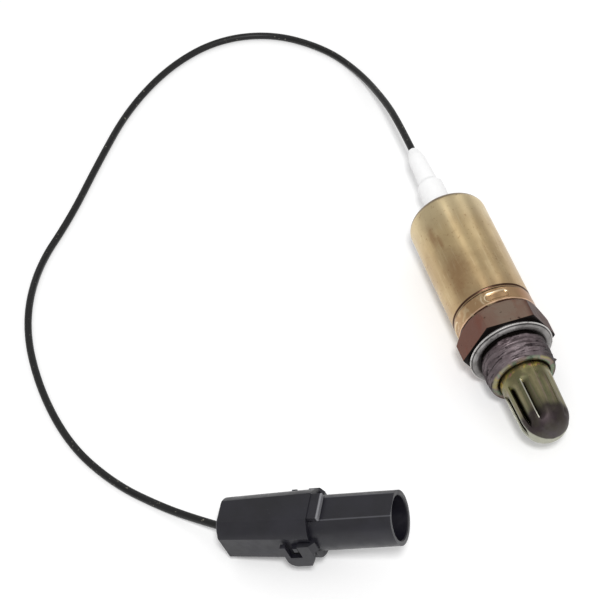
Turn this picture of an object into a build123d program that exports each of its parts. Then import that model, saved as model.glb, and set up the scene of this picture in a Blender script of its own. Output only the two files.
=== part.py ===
"""One-wire exhaust oxygen sensor: threaded housing, louvred shield, outer shell, boot, lead and plug.

The sensor lies on its side with its tip towards +X. The origin is under the middle of the
sensor's own length, on the surface that it lies on. Millimetres, +Z up.
"""

import os
from math import cos, radians, sin, sqrt, tan

from build123d import *

os.makedirs("parts", exist_ok=True)

# ---------------------------------------------------------------- driving sizes

# Stations along the sensor start at the hexagon's front face, + towards the tip.
hex_across_flats = 22.0
hex_thickness = 7.0
hex_bevel = 1.75
hex_edge_break = 0.2

thread_radius = 9.0
thread_end = 10.5
thread_bevel = 0.6
neck_radius = 8.0
neck_length = 3.0

gasket_radius = 11.4
gasket_thickness = 2.0
gasket_edge = 0.75
gasket_bore_fit = 0.15
gasket_face_gap = 0.15
gasket_fold_place = 1.1
gasket_fold_width = 0.3
gasket_fold_depth = 0.35

collar_length = 7.0
chamber_radius = 5.4
seat_depth = 1.5
packing_radius = 6.6
crimp_lip_radius = 5.4
crimp_lip_length = 1.3
crimp_relief_radius = 8.2

sheet = 0.5
shield_base_radius = 6.85
shield_end_radius = 6.45
shield_seat = 7.5
shield_straight_end = 23.3
shield_dome_length = 6.9
shield_flange_width = 0.75
shield_flange_fit = 0.1
shield_mouth_gap = 0.45

louvre_count = 10
louvre_start = 13.4
louvre_end = 27.4
louvre_ramp = 2.2
louvre_sink = 0.95
louvre_slit_angle = 115.0
louvre_flap_angle = 27.0
louvre_hinge_overlap = 3.0
louvre_skin = 0.12

element_collar_radius = 6.2
element_collar_length = 3.6
element_neck_radius = 4.6
element_neck_length = 6.0
element_stem_radius = 4.0
element_tip_radius = 2.9
element_tip = 26.0
element_wall = 1.1
element_bore_radius = 2.6
seal_washer_thickness = 0.5
packing_length = 3.8
packing_ring_thickness = 1.3
bore_fit = 0.1

contact_flange_thickness = 0.6
contact_spigot_length = 5.5
rod_radius = 1.0
rod_clearance = 0.2
ceramic_radius = 7.6
ceramic_nose_radius = 4.8
ceramic_nose_length = 2.4
ceramic_length = 28.0
spring_thickness = 0.5
spring_height = 1.6
spring_inner_radius = 3.6
spring_outer_radius = 7.2

shell_radius = 10.9
shell_wall = 0.7
shell_length = 41.4
shell_corner = 2.8
shell_bead_place = 5.3
shell_bead_radius = 0.45
shell_bead_depth = 0.3
bead_fit = 0.15
stake_count = 4
stake_place = 2.6
stake_radius = 1.3
stake_depth = 0.25
stake_sweep = 26.0
stake_angle = 94.0

boot_flange_radius = 8.6
boot_flange_bevel = 0.8
boot_shoulder_radius = 3.65
boot_shoulder_length = 12.0
boot_step_length = 1.4
boot_neck_radius = 2.75
boot_neck_end_radius = 2.35
boot_neck_length = 10.0
boot_tip_radius = 1.35
boot_tip_length = 3.2
boot_hole_fit = 0.1
crimp_radius = 1.6
crimp_length = 11.0
crimp_setback = 6.7
crimp_overlap = 4.5

lead_diameter = 2.0
lead_straight = 7.0

# The plug's own stations start where the lead enters it, + towards its open mouth.
plug_rear_x = 47.5
plug_rear_y = -83.3
plug_yaw = 62.4
plug_pitch = 18.0
plug_length = 45.0
plug_joint = 24.0
tube_radius = 6.7
tube_flat_height = 5.85
socket_radius = 5.45
socket_depth = 17.0
socket_rim = 0.25
core_radius = 5.0
core_start = 7.0
lock_rear_radius = 7.25
lock_rear_rise = 0.85
lock_rear_side = 6.25
lock_front_radius = 8.3
lock_front_side = 7.3
lock_flat_height = 7.4
lock_fit = 0.05
flange_thickness = 2.9
flange_half_width = 3.6
flange_height = 7.2
ear_reach = 8.6
ear_top = 2.6
ear_bottom = -5.4
ear_front = 23.65
ear_bevel_rear = 21.9
ear_bevel_top = -2.6
web_front = 25.2
web_bottom = -0.6
strap_gap = 0.1
strap_rear = 16.2
strap_bottom_round = 2.4
window_rear = 17.6
window_front = 20.7
window_floor = -1.75
nub_rear = 18.2
nub_front = 20.4
nub_bottom = 0.3
nub_top = 1.8
nub_rise = 1.1
cable_seal_radius = 2.1
cable_seal_groove = 0.3
terminal_pin_radius = 1.2
terminal_tail_radius = 1.6
terminal_shoulder = 1.5
terminal_setback = 5.0
edge_round = 0.3

# ---------------------------------------------------------------- places that follow

hex_back = -hex_thickness
collar_radius = shell_radius - shell_wall
collar_back = hex_back - collar_length
shield_flange_radius = shield_base_radius + shield_flange_width
shield_flange_front = shield_seat + sheet
shield_apex = shield_straight_end + shield_dome_length
seat = -seat_depth
element_shoulder = seat - seal_washer_thickness
element_collar_back = element_shoulder - element_collar_length
element_back = element_collar_back - element_neck_length
packing_back = element_collar_back - packing_length
packing_ring_back = packing_back - packing_ring_thickness
crimp_lip_back = packing_ring_back - crimp_lip_length
contact_back = element_back - contact_flange_thickness
ceramic_back = contact_back - ceramic_length
spring_back = ceramic_back - spring_height
shell_back = hex_back - shell_length
shell_floor = shell_back + shell_wall
shell_bead = hex_back - shell_bead_place
shoulder_back = shell_back - boot_shoulder_length
neck_front = shoulder_back - boot_step_length
neck_back = neck_front - boot_neck_length
boot_back = neck_back - boot_tip_length
crimp_front = spring_back - crimp_setback
crimp_back = crimp_front - crimp_length
rod_back = crimp_front - crimp_overlap

axis_height = gasket_radius
hex_face_x = -(shield_apex + boot_back) / 2
axis_origin = (hex_face_x, 0, axis_height)
sensor_axis = Axis(axis_origin, (1, 0, 0))
half_plane = Plane(origin=axis_origin, x_dir=(1, 0, 0), z_dir=(0, -1, 0))


def across(station):
    """Plane square to the sensor's axis, its x along +Y and its y along +Z."""
    return Plane(origin=(hex_face_x + station, 0, axis_height), x_dir=(0, 1, 0), z_dir=(1, 0, 0))


def ring(*corners):
    """Turn a closed outline of (station, radius) corners round the sensor's axis."""
    with BuildSketch(half_plane) as outline:
        with BuildLine():
            Polyline(*corners, close=True)
        make_face()
    revolve(outline.sketch, axis=sensor_axis)


# ---------------------------------------------------------------- housing: hexagon, thread, collar

corner_radius = hex_across_flats / sqrt(3)
bead_reach = shell_bead_radius + shell_wall - shell_bead_depth

with BuildPart() as hexagon_bevels:
    ring(
        (hex_back, 0),
        (hex_back, hex_across_flats / 2),
        (hex_back + hex_bevel, hex_across_flats / 2 + hex_bevel),
        (-hex_edge_break, hex_across_flats / 2 + hex_bevel),
        (-hex_edge_break, corner_radius),
        (0, corner_radius - hex_edge_break),
        (0, 0),
    )

with BuildPart() as housing_bores:
    ring(
        (collar_back, 0),
        (collar_back, crimp_relief_radius),
        (crimp_lip_back, crimp_relief_radius),
        (crimp_lip_back, crimp_lip_radius),
        (packing_ring_back, crimp_lip_radius),
        (packing_ring_back, packing_radius),
        (seat, packing_radius),
        (seat, chamber_radius),
        (shield_seat, chamber_radius),
        (shield_seat, shield_flange_radius + shield_flange_fit),
        (shield_flange_front, shield_flange_radius + shield_flange_fit),
        (shield_flange_front, shield_base_radius + shield_mouth_gap),
        (thread_end - thread_bevel, shield_base_radius + shield_mouth_gap),
        (thread_end, shield_base_radius + shield_mouth_gap + thread_bevel),
        (thread_end, 0),
    )

with BuildPart() as sensor_housing:
    with BuildSketch(across(hex_back)):
        RegularPolygon(hex_across_flats / 2, 6, major_radius=False)
    extrude(amount=hex_thickness)
    add(hexagon_bevels.part, mode=Mode.INTERSECT)
    ring(
        (collar_back, 0),
        (collar_back, collar_radius),
        (shell_bead - bead_reach, collar_radius),
        (shell_bead, collar_radius - shell_bead_depth - bead_fit),
        (shell_bead + bead_reach, collar_radius),
        (hex_back, collar_radius),
        (hex_back, neck_radius),
        (neck_length - thread_bevel, neck_radius),
        (neck_length, neck_radius + thread_bevel),
        (neck_length, thread_radius),
        (thread_end - thread_bevel, thread_radius),
        (thread_end, thread_radius - thread_bevel),
        (thread_end, 0),
    )
    add(housing_bores.part, mode=Mode.SUBTRACT)

# ---------------------------------------------------------------- gasket: a folded steel ring

gasket_bore = neck_radius + gasket_bore_fit
gasket_face_bore = thread_radius + gasket_face_gap
with BuildPart() as seal_gasket:
    with BuildSketch(half_plane):
        with BuildLine():
            Polyline(
                (gasket_edge, gasket_radius),
                (gasket_fold_place, gasket_radius),
                (gasket_fold_place + gasket_fold_width / 2, gasket_radius - gasket_fold_depth),
                (gasket_fold_place + gasket_fold_width, gasket_radius),
                (gasket_thickness, gasket_radius - gasket_edge),
                (gasket_thickness, gasket_face_bore),
                (gasket_thickness / 2, gasket_bore),
                (0, gasket_bore),
                (0, gasket_radius - gasket_edge),
            )
            TangentArc((0, gasket_radius - gasket_edge), (gasket_edge, gasket_radius), tangent=(0, 1))
        make_face()
    revolve(axis=sensor_axis)

# ---------------------------------------------------------------- shield: sheet cup with louvres


def shield_radius(station):
    """Outer radius of the shield: a slight taper, then an elliptical dome."""
    if station <= shield_straight_end:
        share = (station - shield_flange_front) / (shield_straight_end - shield_flange_front)
        return shield_base_radius + (shield_end_radius - shield_base_radius) * share
    share = (station - shield_straight_end) / shield_dome_length
    return shield_end_radius * sqrt(1 - share**2)


def louvre_depth(station):
    """Depth of a flap's free edge: whole between the ramps, nothing at both ends."""
    ramp = min(station - louvre_start, louvre_end - station) / louvre_ramp
    return louvre_sink * min(1, max(0, ramp))


def on_ring(radius, angle):
    """Point on a plane square to the axis, its angle from +Y towards +Z."""
    return (radius * cos(radians(angle)), radius * sin(radians(angle)))


def louvre_wedge(under, over, hinge_angle):
    """Loft the quadrilateral between two skins of a flap, from its hinge to its free edge.

    under and over are the skins' distances below and above the pressed sheet's outer face.
    """
    stations = (
        louvre_start,
        louvre_start + louvre_ramp,
        shield_straight_end,
        louvre_end - louvre_ramp,
        louvre_end - louvre_ramp / 2,
        louvre_end,
    )
    sections = []
    for station in stations:
        hinge = shield_radius(station)
        edge = hinge - louvre_depth(station)
        top = hinge if over > 0 else edge
        with BuildSketch(across(station)) as section:
            with BuildLine():
                Polyline(
                    on_ring(hinge - under, hinge_angle),
                    on_ring(edge - under, louvre_slit_angle),
                    on_ring(top + over, louvre_slit_angle),
                    on_ring(hinge + over, hinge_angle),
                    close=True,
                )
            make_face()
        sections.append(section.sketch)
    loft(sections, ruled=True)


louvre_hinge_angle = louvre_slit_angle - louvre_flap_angle
with BuildPart() as louvre_pocket:
    louvre_wedge(louvre_skin, 1.0, louvre_hinge_angle)

with BuildPart() as louvre_flap:
    louvre_wedge(sheet, -louvre_skin, louvre_hinge_angle - louvre_hinge_overlap)

with BuildPart() as protection_tube:
    with BuildSketch(half_plane):
        with BuildLine():
            Line((shield_apex - sheet, 0), (shield_apex, 0))
            EllipticalCenterArc(
                (shield_straight_end, 0),
                shield_dome_length,
                shield_end_radius,
                0,
                arc_size=90,
            )
            Polyline(
                (shield_straight_end, shield_end_radius),
                (shield_flange_front, shield_base_radius),
                (shield_flange_front, shield_flange_radius),
                (shield_seat, shield_flange_radius),
                (shield_seat, shield_base_radius - sheet),
                (shield_straight_end, shield_end_radius - sheet),
            )
            EllipticalCenterArc(
                (shield_straight_end, 0),
                shield_dome_length - sheet,
                shield_end_radius - sheet,
                0,
                arc_size=90,
            )
        make_face()
    revolve(axis=sensor_axis)
    for index in range(louvre_count):
        turn = index * 360 / louvre_count
        add(louvre_pocket.part.rotate(sensor_axis, turn), mode=Mode.SUBTRACT)
        add(louvre_flap.part.rotate(sensor_axis, turn))

# ---------------------------------------------------------------- element and what seals it

with BuildPart() as seal_washer:
    ring(
        (element_shoulder, chamber_radius),
        (seat, chamber_radius),
        (seat, packing_radius - bore_fit),
        (element_shoulder, packing_radius - bore_fit),
    )

with BuildPart() as zirconia_element:
    tip_centre = element_tip - element_tip_radius
    bore_tip_radius = element_tip_radius - element_wall
    with BuildSketch(half_plane):
        with BuildLine():
            Line((element_tip - element_wall, 0), (element_tip, 0))
            CenterArc((tip_centre, 0), element_tip_radius, 0, 90)
            Polyline(
                (tip_centre, element_tip_radius),
                (shield_seat, element_stem_radius),
                (element_shoulder, element_stem_radius),
                (element_shoulder, element_collar_radius),
                (element_collar_back, element_collar_radius),
                (element_collar_back, element_neck_radius),
                (element_back, element_neck_radius),
                (element_back, element_bore_radius),
                (element_collar_back, element_bore_radius),
                (tip_centre, bore_tip_radius),
            )
            CenterArc((tip_centre, 0), bore_tip_radius, 0, 90)
        make_face()
    revolve(axis=sensor_axis)

with BuildPart() as talc_packing:
    ring(
        (packing_back, element_neck_radius),
        (element_collar_back, element_neck_radius),
        (element_collar_back, packing_radius),
        (packing_back, packing_radius),
    )

with BuildPart() as packing_ring:
    ring(
        (packing_ring_back, element_neck_radius + bore_fit),
        (packing_back, element_neck_radius + bore_fit),
        (packing_back, packing_radius - bore_fit),
        (packing_ring_back, packing_radius - bore_fit),
    )

# ---------------------------------------------------------------- contact, rod, ceramic and spring

with BuildPart() as contact_bush:
    ring(
        (contact_back, rod_radius),
        (element_back + contact_spigot_length, rod_radius),
        (element_back + contact_spigot_length, element_bore_radius - 2 * bore_fit),
        (element_back, element_bore_radius - bore_fit),
        (element_back, element_neck_radius - bore_fit),
        (contact_back, element_neck_radius - bore_fit),
    )

with BuildPart() as contact_rod:
    ring(
        (rod_back, 0),
        (rod_back, rod_radius),
        (element_back + contact_spigot_length, rod_radius),
        (element_back + contact_spigot_length, 0),
    )

rod_bore = rod_radius + rod_clearance
with BuildPart() as support_ceramic:
    ring(
        (ceramic_back, rod_bore),
        (contact_back, rod_bore),
        (contact_back, ceramic_nose_radius),
        (contact_back - ceramic_nose_length, ceramic_nose_radius),
        (contact_back - ceramic_nose_length, ceramic_radius),
        (ceramic_back, ceramic_radius),
    )
    rims = support_ceramic.edges().filter_by(GeomType.CIRCLE).filter_by(
        lambda edge: abs(edge.radius - ceramic_radius) < 0.01
    )
    chamfer(rims, edge_round)

with BuildPart() as disc_spring:
    ring(
        (ceramic_back, spring_inner_radius),
        (ceramic_back - spring_thickness, spring_inner_radius),
        (spring_back, spring_outer_radius),
        (spring_back + spring_thickness, spring_outer_radius),
    )

# ---------------------------------------------------------------- outer shell: bead, stakes, corner

with BuildPart() as stake_dent:
    dent_radius = shell_radius + stake_radius - stake_depth
    with BuildSketch(half_plane.rotated((-stake_sweep / 2, 0, 0))):
        with Locations((hex_back - stake_place, dent_radius)):
            Circle(stake_radius)
    revolve(axis=sensor_axis, revolution_arc=stake_sweep)
    for end in (-stake_sweep / 2, stake_sweep / 2):
        with Locations(
            (
                hex_face_x + hex_back - stake_place,
                dent_radius * sin(radians(end)),
                axis_height + dent_radius * cos(radians(end)),
            )
        ):
            Sphere(stake_radius)

with BuildPart() as outer_shell:
    boot_hole = boot_shoulder_radius + boot_hole_fit
    dip = sqrt(shell_bead_radius**2 - (shell_bead_radius - shell_bead_depth) ** 2)
    inner_corner = shell_corner - shell_wall
    with BuildSketch(half_plane):
        with BuildLine():
            Polyline(
                (shell_floor, boot_hole),
                (shell_back, boot_hole),
                (shell_back, shell_radius - shell_corner),
            )
            TangentArc(
                (shell_back, shell_radius - shell_corner),
                (shell_back + shell_corner, shell_radius),
                tangent=(0, 1),
            )
            Line((shell_back + shell_corner, shell_radius), (shell_bead - dip, shell_radius))
            ThreePointArc(
                (shell_bead - dip, shell_radius),
                (shell_bead, shell_radius - shell_bead_depth),
                (shell_bead + dip, shell_radius),
            )
            Polyline(
                (shell_bead + dip, shell_radius),
                (hex_back, shell_radius),
                (hex_back, collar_radius),
                (shell_bead + bead_reach - bead_fit, collar_radius),
                (shell_bead, collar_radius - shell_bead_depth),
                (shell_bead - bead_reach + bead_fit, collar_radius),
                (shell_back + shell_corner, collar_radius),
            )
            TangentArc(
                (shell_back + shell_corner, collar_radius),
                (shell_floor, collar_radius - inner_corner),
                tangent=(-1, 0),
            )
            Line((shell_floor, collar_radius - inner_corner), (shell_floor, boot_hole))
        make_face()
    revolve(axis=sensor_axis)
    for index in range(stake_count):
        turn = stake_angle - 90 + index * 360 / stake_count
        add(stake_dent.part.rotate(sensor_axis, turn), mode=Mode.SUBTRACT)

# ---------------------------------------------------------------- boot and the crimp inside it

with BuildPart() as insulator_boot:
    ring(
        (spring_back, rod_bore),
        (spring_back, boot_flange_radius),
        (shell_floor + boot_flange_bevel, boot_flange_radius),
        (shell_floor, boot_flange_radius - boot_flange_bevel),
        (shell_floor, boot_shoulder_radius),
        (shoulder_back, boot_shoulder_radius),
        (neck_front, boot_neck_radius),
        (neck_back, boot_neck_end_radius),
        (boot_back, boot_tip_radius),
        (boot_back, 0),
        (crimp_back, 0),
        (crimp_back, crimp_radius),
        (crimp_front, crimp_radius),
        (crimp_front, rod_bore),
    )

with BuildPart() as crimp_sleeve:
    ring(
        (crimp_back, 0),
        (crimp_back, crimp_radius),
        (crimp_front, crimp_radius),
        (crimp_front, rod_radius),
        (rod_back, rod_radius),
        (rod_back, 0),
    )

# ---------------------------------------------------------------- plug: place and planes

pitch = radians(plug_pitch)
yaw = radians(plug_yaw)
forward = Vector(cos(pitch) * cos(yaw), cos(pitch) * sin(yaw), sin(pitch))
upward = Vector(-sin(pitch) * cos(yaw), -sin(pitch) * sin(yaw), cos(pitch))
sideward = upward.cross(forward)

# The lock's rear lower edge, where its chamfer ends, rests on the surface.
lock_rear_bottom = lock_rear_radius - lock_rear_rise
lock_taper = (lock_front_radius - lock_rear_bottom) / plug_joint
plug_rear_z = lock_rear_bottom * cos(pitch) - edge_round * (sin(pitch) - lock_taper * cos(pitch))
plug_rear = Vector(plug_rear_x, plug_rear_y, plug_rear_z)


def plug_at(station):
    """Plane square to the plug's axis, its x to the plug's side and its y upward."""
    return Plane(origin=plug_rear + forward * station, x_dir=sideward, z_dir=forward)


plug_side = Plane(origin=plug_rear, x_dir=forward, z_dir=sideward * -1)
plug_top = Plane(origin=plug_rear, x_dir=forward, z_dir=upward)


def flatted_circle(radius, flat_height, half_width, rise=0):
    """Circle raised by rise, cut flat across its top and down both sides."""
    with Locations((0, rise)):
        Circle(radius)
    with Locations((0, flat_height - 2 * radius)):
        Rectangle(2 * half_width, 4 * radius, mode=Mode.INTERSECT)


# ---------------------------------------------------------------- plug: housing with its socket

strap_inside = lock_front_side + strap_gap
with BuildPart() as plug_housing:
    plate_foot = tube_flat_height / 2
    with BuildSketch(plug_top.offset(ear_bottom)):
        with BuildLine():
            Polyline(
                (plug_joint, plate_foot),
                (plug_joint, strap_inside),
                (strap_rear, strap_inside),
                (strap_rear, ear_reach),
                (ear_front, ear_reach),
                (web_front, strap_inside),
                (web_front, plate_foot),
                close=True,
            )
        make_face()
        mirror(about=Plane.XZ)
    extrude(amount=ear_top - ear_bottom)
    with BuildSketch(plug_side.offset(-2 * ear_reach)):
        window_height = 2 * ear_top - window_floor
        with Locations(((window_rear + window_front) / 2, window_floor + window_height / 2)):
            Rectangle(window_front - window_rear, window_height)
        with BuildLine():
            Polyline(
                (ear_bevel_rear, ear_bottom),
                (ear_front, ear_bevel_top),
                (plug_joint, web_bottom),
                (plug_length, web_bottom),
                (plug_length, ear_bottom),
                close=True,
            )
        make_face()
    extrude(amount=4 * ear_reach, mode=Mode.SUBTRACT)
    side_edges = plug_housing.edges().filter_by(Axis(plug_rear, sideward))
    strap_ends = side_edges.group_by(Axis(plug_rear, forward))[0]
    fillet(strap_ends.group_by(Axis(plug_rear, upward))[0], strap_bottom_round)
    with BuildSketch(plug_at(plug_joint)):
        with Locations((0, (plate_foot + flange_height) / 2)):
            Rectangle(2 * flange_half_width, flange_height - plate_foot)
    extrude(amount=flange_thickness)
    with BuildSketch(plug_at(plug_joint)):
        flatted_circle(tube_radius, tube_flat_height, tube_radius)
    extrude(amount=plug_length - plug_joint)
    with BuildSketch(plug_at(core_start)):
        Circle(core_radius)
    extrude(amount=plug_length - core_start - socket_depth)
    with BuildSketch(plug_at(plug_length - socket_depth)):
        Circle(socket_radius)
    extrude(amount=socket_depth, mode=Mode.SUBTRACT)
    with BuildSketch(plug_at(core_start)):
        Circle(terminal_tail_radius)
    extrude(amount=plug_length - core_start, mode=Mode.SUBTRACT)
    mouth = plug_housing.faces().filter_by(plug_at(plug_length)).sort_by(Axis(plug_rear, forward))[-1]
    chamfer(mouth.inner_wires()[0].edges(), socket_rim)

# ---------------------------------------------------------------- plug: snapped-on wire lock

with BuildPart() as wire_lock:
    with BuildSketch(plug_at(0)):
        flatted_circle(lock_rear_radius, lock_flat_height, lock_rear_side, lock_rear_rise)
    with BuildSketch(plug_at(plug_joint)):
        flatted_circle(lock_front_radius, lock_flat_height, lock_front_side)
    loft()
    chamfer(wire_lock.faces().sort_by(Axis(plug_rear, forward))[0].edges(), edge_round)
    with BuildSketch(plug_top.offset(nub_bottom)):
        with BuildLine():
            Polyline(
                (nub_front, core_radius + 1),
                (nub_front, lock_front_side + nub_rise),
                ((nub_rear + nub_front) / 2, lock_front_side + nub_rise),
                (nub_rear, lock_front_side - nub_rise),
                (nub_rear, core_radius + 1),
                close=True,
            )
        make_face()
        mirror(about=Plane.XZ)
    extrude(amount=nub_top - nub_bottom)
    with BuildSketch(plug_at(0)):
        Circle(cable_seal_radius)
    extrude(amount=core_start, mode=Mode.SUBTRACT)
    with BuildSketch(plug_at(core_start)):
        Circle(core_radius + lock_fit)
    extrude(amount=plug_joint - core_start, mode=Mode.SUBTRACT)

# ---------------------------------------------------------------- plug: cable seal and terminal


def plug_ring(*corners):
    """Turn a closed outline of (station, radius) corners round the plug's axis."""
    with BuildSketch(plug_side) as outline:
        with BuildLine():
            Polyline(*corners, close=True)
        make_face()
    revolve(outline.sketch, axis=Axis(plug_rear, forward))


with BuildPart() as cable_seal:
    rib_pitch = core_start / 3.5
    waist = cable_seal_radius - cable_seal_groove
    outline = [(0, 0), (0, cable_seal_radius)]
    for index in range(3):
        rib_end = rib_pitch * (index + 0.5)
        outline += [
            (rib_end, cable_seal_radius),
            (rib_end + rib_pitch / 4, waist),
            (rib_end + rib_pitch / 2, waist),
            (rib_end + rib_pitch * 3 / 4, cable_seal_radius),
        ]
    outline += [(core_start, cable_seal_radius), (core_start, 0)]
    plug_ring(*outline)

with BuildPart() as pin_terminal:
    pin_start = plug_length - socket_depth + terminal_shoulder
    pin_end = plug_length - terminal_setback
    plug_ring(
        (core_start, 0),
        (core_start, terminal_tail_radius),
        (pin_start, terminal_tail_radius),
        (pin_start, terminal_pin_radius),
        (pin_end - terminal_pin_radius, terminal_pin_radius),
        (pin_end, terminal_pin_radius / 3),
        (pin_end, 0),
    )

# ---------------------------------------------------------------- lead: from the boot to the plug

lead_height = lead_diameter / 2
lead_route = [
    (hex_face_x + boot_back, 0, axis_height),
    (-63.5, 0, axis_height),
    (-78.5, 0.5, 7),
    (-98.5, -1, lead_height),
    (-112, -7.5, lead_height),
    (-124, -20.5, lead_height),
    (-127.5, -37, lead_height),
    (-121.5, -54, lead_height),
    (-108, -70.5, lead_height),
    (-90, -84, lead_height),
    (-72, -96.5, lead_height),
    (-56.5, -110, lead_height),
    (-37.5, -117.5, lead_height),
    (-15.5, -118.5, lead_height),
    (5.5, -115, lead_height),
    (21, -107.5, lead_height),
    (33.5, -97.5, lead_height),
    tuple(plug_rear - forward * lead_straight),
    tuple(plug_rear),
]


def corner_radii(points, share=0.45):
    """Radius of each corner's arc: as large as the shorter of its two runs allows."""
    radii = []
    for before, here, after in zip(points, points[1:], points[2:]):
        run_in = Vector(here) - Vector(before)
        run_out = Vector(after) - Vector(here)
        half_turn = radians(run_in.get_angle(run_out) / 2)
        radii.append(share * min(run_in.length, run_out.length) / tan(half_turn))
    return radii


lead_radii = corner_radii(lead_route)
print("lead radii, mm:", [round(radius, 1) for radius in lead_radii])

with BuildPart() as lead_wire:
    with BuildLine():
        FilletPolyline(*lead_route, radius=lead_radii)
    with BuildSketch(Plane(origin=lead_route[0], z_dir=(-1, 0, 0))):
        Circle(lead_diameter / 2)
    sweep()

# ---------------------------------------------------------------- named pieces

pieces = {
    "sensor_housing": sensor_housing,
    "seal_gasket": seal_gasket,
    "protection_tube": protection_tube,
    "seal_washer": seal_washer,
    "zirconia_element": zirconia_element,
    "talc_packing": talc_packing,
    "packing_ring": packing_ring,
    "contact_bush": contact_bush,
    "contact_rod": contact_rod,
    "support_ceramic": support_ceramic,
    "disc_spring": disc_spring,
    "outer_shell": outer_shell,
    "insulator_boot": insulator_boot,
    "crimp_sleeve": crimp_sleeve,
    "lead_wire": lead_wire,
    "plug_housing": plug_housing,
    "wire_lock": wire_lock,
    "cable_seal": cable_seal,
    "pin_terminal": pin_terminal,
}
for label, piece in pieces.items():
    piece.part.label = label
    export_step(piece.part, f"parts/{label}.step")
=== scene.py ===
import math

import bmesh
import bpy
import numpy as np
from mathutils import Matrix, Vector


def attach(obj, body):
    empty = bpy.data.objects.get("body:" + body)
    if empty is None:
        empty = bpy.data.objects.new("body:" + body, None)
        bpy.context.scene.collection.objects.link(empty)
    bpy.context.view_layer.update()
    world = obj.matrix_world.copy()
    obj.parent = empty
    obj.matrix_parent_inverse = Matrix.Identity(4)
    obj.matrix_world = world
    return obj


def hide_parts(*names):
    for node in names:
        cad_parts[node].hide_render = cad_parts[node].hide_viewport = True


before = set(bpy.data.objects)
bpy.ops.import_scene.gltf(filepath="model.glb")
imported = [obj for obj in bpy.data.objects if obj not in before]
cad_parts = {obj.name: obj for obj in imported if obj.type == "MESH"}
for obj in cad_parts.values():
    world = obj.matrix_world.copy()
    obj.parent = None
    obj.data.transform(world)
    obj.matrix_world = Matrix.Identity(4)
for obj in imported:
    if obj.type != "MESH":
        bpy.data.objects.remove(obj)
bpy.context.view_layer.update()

mm = 0.001

# the sensor's own line: stations count from the hexagon's front face, towards the tip
sensorPlace = {"hexFaceX": 22.4 * mm, "axisHeight": 11.4 * mm}


def tiltedPlace(rear, yaw, pitch):
    # the plug's own axes: forward to its mouth, upward out of its flat, and sideward
    yaw, pitch = math.radians(yaw), math.radians(pitch)
    forward = Vector((math.cos(pitch) * math.cos(yaw), math.cos(pitch) * math.sin(yaw), math.sin(pitch)))
    upward = Vector((-math.sin(pitch) * math.cos(yaw), -math.sin(pitch) * math.sin(yaw), math.cos(pitch)))
    return {"rear": rear, "forward": forward, "upward": upward, "sideward": upward.cross(forward)}


# stations along the plug count from where the lead enters it
plugPlace = tiltedPlace((47.5 * mm, -83.3 * mm, 6.017 * mm), 62.4, 18.0)


# long lens, above and ahead of the tip, slightly rolled
cameraLook = {
    "place": (317.865 * mm, -122.934 * mm, 421.155 * mm), "lens": 120.0, "sensorWidth": 36.0,
    "azimuth": 76.886, "elevation": 50.436, "roll": -5.565,
}


def placed(name, data):
    thing = bpy.data.objects.new(name, data)
    bpy.context.scene.collection.objects.link(thing)
    return thing


def makeCamera(look):
    turn, lift, roll = (math.radians(look[key]) for key in ("azimuth", "elevation", "roll"))
    level = Vector((math.cos(turn), math.sin(turn), 0))
    back = Vector((math.sin(turn) * math.cos(lift), -math.cos(turn) * math.cos(lift), math.sin(lift)))
    above = back.cross(level)
    right = level * math.cos(roll) + above * math.sin(roll)
    up = above * math.cos(roll) - level * math.sin(roll)
    data = bpy.data.cameras.new("camera")
    data.lens = look["lens"]
    data.sensor_width = look["sensorWidth"]
    data.clip_start = 0.01
    camera = placed("camera", data)
    camera.matrix_world = Matrix.Translation(look["place"]) @ Matrix((right, up, back)).transposed().to_4x4()
    bpy.context.scene.camera = camera


makeCamera(cameraLook)
print("camera placed")


def gridCorners(row, column, columns, nextRow):
    # a quad from each (row, column) point to its neighbours; the columns join round
    beside = (column + 1) % columns
    corners = (row * columns + column, row * columns + beside,
               nextRow * columns + beside, nextRow * columns + column)
    return np.stack(corners, axis=-1)


def closedQuads(points):
    # the quads of a grid that is joined round both ways
    rows, columns = points.shape[:2]
    row, column = np.meshgrid(np.arange(rows), np.arange(columns), indexing="ij")
    return gridCorners(row, column, columns, (row + 1) % rows).reshape(-1, 4)


def makePiece(name, points, quads, material, replaced, sharpAngle, marks=None):
    # marks: names of masks, each with a value for every point
    mesh = bpy.data.meshes.new(name)
    mesh.from_pydata(np.asarray(points, dtype=float).reshape(-1, 3).tolist(), [], np.asarray(quads).tolist())
    for label, values in (marks or {}).items():
        mesh.attributes.new(label, "FLOAT", "POINT").data.foreach_set("value", np.asarray(values, dtype=np.float32))
    work = bmesh.new()
    work.from_mesh(mesh)
    bmesh.ops.remove_doubles(work, verts=work.verts, dist=0.0004 * mm)
    bmesh.ops.dissolve_degenerate(work, edges=work.edges, dist=0.0002 * mm)
    bmesh.ops.recalc_face_normals(work, faces=work.faces)
    work.to_mesh(mesh)
    work.free()
    mesh.polygons.foreach_set("use_smooth", np.ones(len(mesh.polygons), dtype=bool))
    mesh.set_sharp_from_angle(angle=math.radians(sharpAngle))
    mesh.materials.append(material)
    piece = placed(name, mesh)
    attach(piece, "root")
    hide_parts(*replaced)
    print(f"{name}: {len(mesh.polygons)} faces")


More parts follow.
